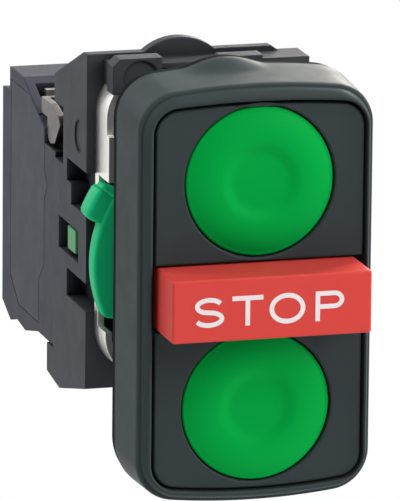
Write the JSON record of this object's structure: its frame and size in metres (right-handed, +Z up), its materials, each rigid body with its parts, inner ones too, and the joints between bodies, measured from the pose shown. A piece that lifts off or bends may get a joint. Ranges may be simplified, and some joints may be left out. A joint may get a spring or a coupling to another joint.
{
  "type": "triple push button",
  "caption": "Panel-mounted push button head with two flush green round buttons and a projecting red stop bar, clamped by a steel frame, with contact blocks behind.",
  "frame": {"origin": "on the axis of the barrel, in the plane of the panel face that the gasket presses on", "axes": "+X to the operator's right, +Z up, +Y from the operator through the panel to the contact blocks"},
  "size_m": [0.0313, 0.0689, 0.0534],
  "materials": {
    "bezel_plastic": "satin, greenish charcoal",
    "panel_plastic": "satin, greenish charcoal",
    "button_green": "smooth, bright green",
    "bar_red": "smooth, bright red",
    "base_plastic": "satin, dark grey",
    "gasket_rubber": "matte, black",
    "pusher_plastic": "satin, off-white",
    "spring_steel": "bright wire",
    "frame_steel": "polished, slightly warm",
    "lever_green": "smooth, turquoise green",
    "body_plastic": "fine grain, blue-grey",
    "block_plastic": "fine grain, blue-grey",
    "cover_plastic": "fine grain, blue-grey",
    "plunger_green": "satin, pale green",
    "contact_brass": "plain, with silver tips",
    "terminal_steel": "plated, slightly brown"
  },
  "bodies": {
    "base": {"bezel": "bezel_plastic", "upper_panel": "panel_plastic", "lower_panel": "panel_plastic", "head_base": "base_plastic", "panel_gasket": "gasket_rubber", "top_seal": "gasket_rubber", "bottom_seal": "gasket_rubber", "stop_seal": "gasket_rubber", "clamp_frame": "frame_steel", "mounting_body": "body_plastic", "left_housing": "block_plastic", "left_cover": "cover_plastic", "left_terminals": "terminal_steel", "centre_housing": "block_plastic", "centre_cover": "cover_plastic", "centre_terminals": "terminal_steel", "right_housing": "block_plastic", "right_cover": "cover_plastic", "right_terminals": "terminal_steel", "terminal_clamps": "terminal_steel", "terminal_screws": "terminal_steel"},
    "top_press": {"top_button": "button_green", "top_pusher": "pusher_plastic", "top_return_spring": "spring_steel"},
    "bottom_press": {"bottom_button": "button_green", "bottom_pusher": "pusher_plastic", "bottom_return_spring": "spring_steel"},
    "stop_press": {"stop_bar": "bar_red", "stop_pusher": "pusher_plastic", "stop_return_spring": "spring_steel"},
    "lever": {"lock_lever": "lever_green"},
    "left_contact": {"left_plunger": "plunger_green", "left_bridge": "contact_brass", "left_block_spring": "spring_steel"},
    "centre_contact": {"centre_plunger": "plunger_green", "centre_bridge": "contact_brass", "centre_block_spring": "spring_steel"},
    "right_contact": {"right_plunger": "plunger_green", "right_bridge": "contact_brass", "right_block_spring": "spring_steel"}
  },
  "joints": [
    {"name": "top_button_press", "type": "slide", "parent": "base", "child": "top_press", "axis": [0, 1, 0], "range_m": [0, 0.003], "stiffness_N_per_m": 250, "springref_m": -0.004, "deforming": ["top_return_spring"]},
    {"name": "bottom_button_press", "type": "slide", "parent": "base", "child": "bottom_press", "axis": [0, 1, 0], "range_m": [0, 0.003], "stiffness_N_per_m": 250, "springref_m": -0.004, "deforming": ["bottom_return_spring"]},
    {"name": "stop_bar_press", "type": "slide", "parent": "base", "child": "stop_press", "axis": [0, 1, 0], "range_m": [0, 0.003], "stiffness_N_per_m": 250, "springref_m": -0.004, "deforming": ["stop_return_spring"]},
    {"name": "left_plunger_slide", "type": "slide", "parent": "base", "child": "left_contact", "axis": [0, 1, 0], "range_m": [0, 0.003], "deforming": ["left_block_spring"]},
    {"name": "centre_plunger_slide", "type": "slide", "parent": "base", "child": "centre_contact", "axis": [0, 1, 0], "range_m": [0, 0.003], "deforming": ["centre_block_spring"]},
    {"name": "right_plunger_slide", "type": "slide", "parent": "base", "child": "right_contact", "axis": [0, 1, 0], "range_m": [0, 0.003], "deforming": ["right_block_spring"]},
    {"name": "lock_lever_turn", "type": "hinge", "parent": "base", "child": "lever", "pos_m": [0, 0.0089, 0], "axis": [0, -1, 0], "range_deg": [0, 26]}
  ],
  "couplings": [
    {"joint": "left_plunger_slide", "follows": "top_button_press", "ratio": 1},
    {"joint": "centre_plunger_slide", "follows": "stop_bar_press", "ratio": 1},
    {"joint": "right_plunger_slide", "follows": "bottom_button_press", "ratio": 1}
  ]
}
